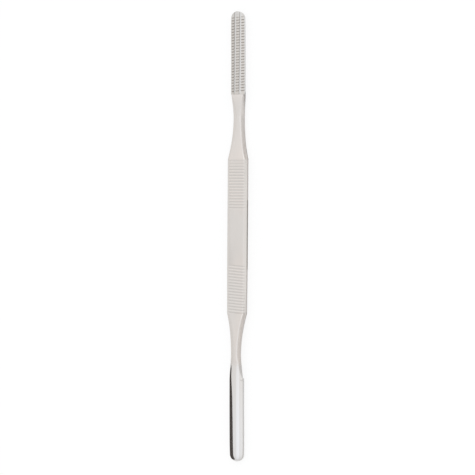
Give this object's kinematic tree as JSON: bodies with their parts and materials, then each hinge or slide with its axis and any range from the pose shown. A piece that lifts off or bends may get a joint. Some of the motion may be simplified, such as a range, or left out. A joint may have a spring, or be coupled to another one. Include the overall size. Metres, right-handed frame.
{
  "type": "bone rasp",
  "caption": "Slim flat steel bone rasp: a grooved handle with a plain panel, and at each end a flared neck with a toothed head and a polished half-round back, for smoothing bone.",
  "frame": {"origin": "middle of the handle's back face, the face that the instrument lies on", "axes": "+Y along the instrument to the end whose teeth face up, +Z out of the handle's front face, +X across the handle"},
  "size_m": [0.0096, 0.21, 0.0042],
  "materials": {
    "satin_steel": "satin",
    "polished_steel": "polished",
    "tooth_steel": "machined"
  },
  "bodies": {
    "root": {"handle": "satin_steel", "upper_blade": "polished_steel", "lower_blade": "polished_steel", "upper_tooth_plate": "tooth_steel", "lower_tooth_plate": "tooth_steel"}
  },
  "joints": []
}
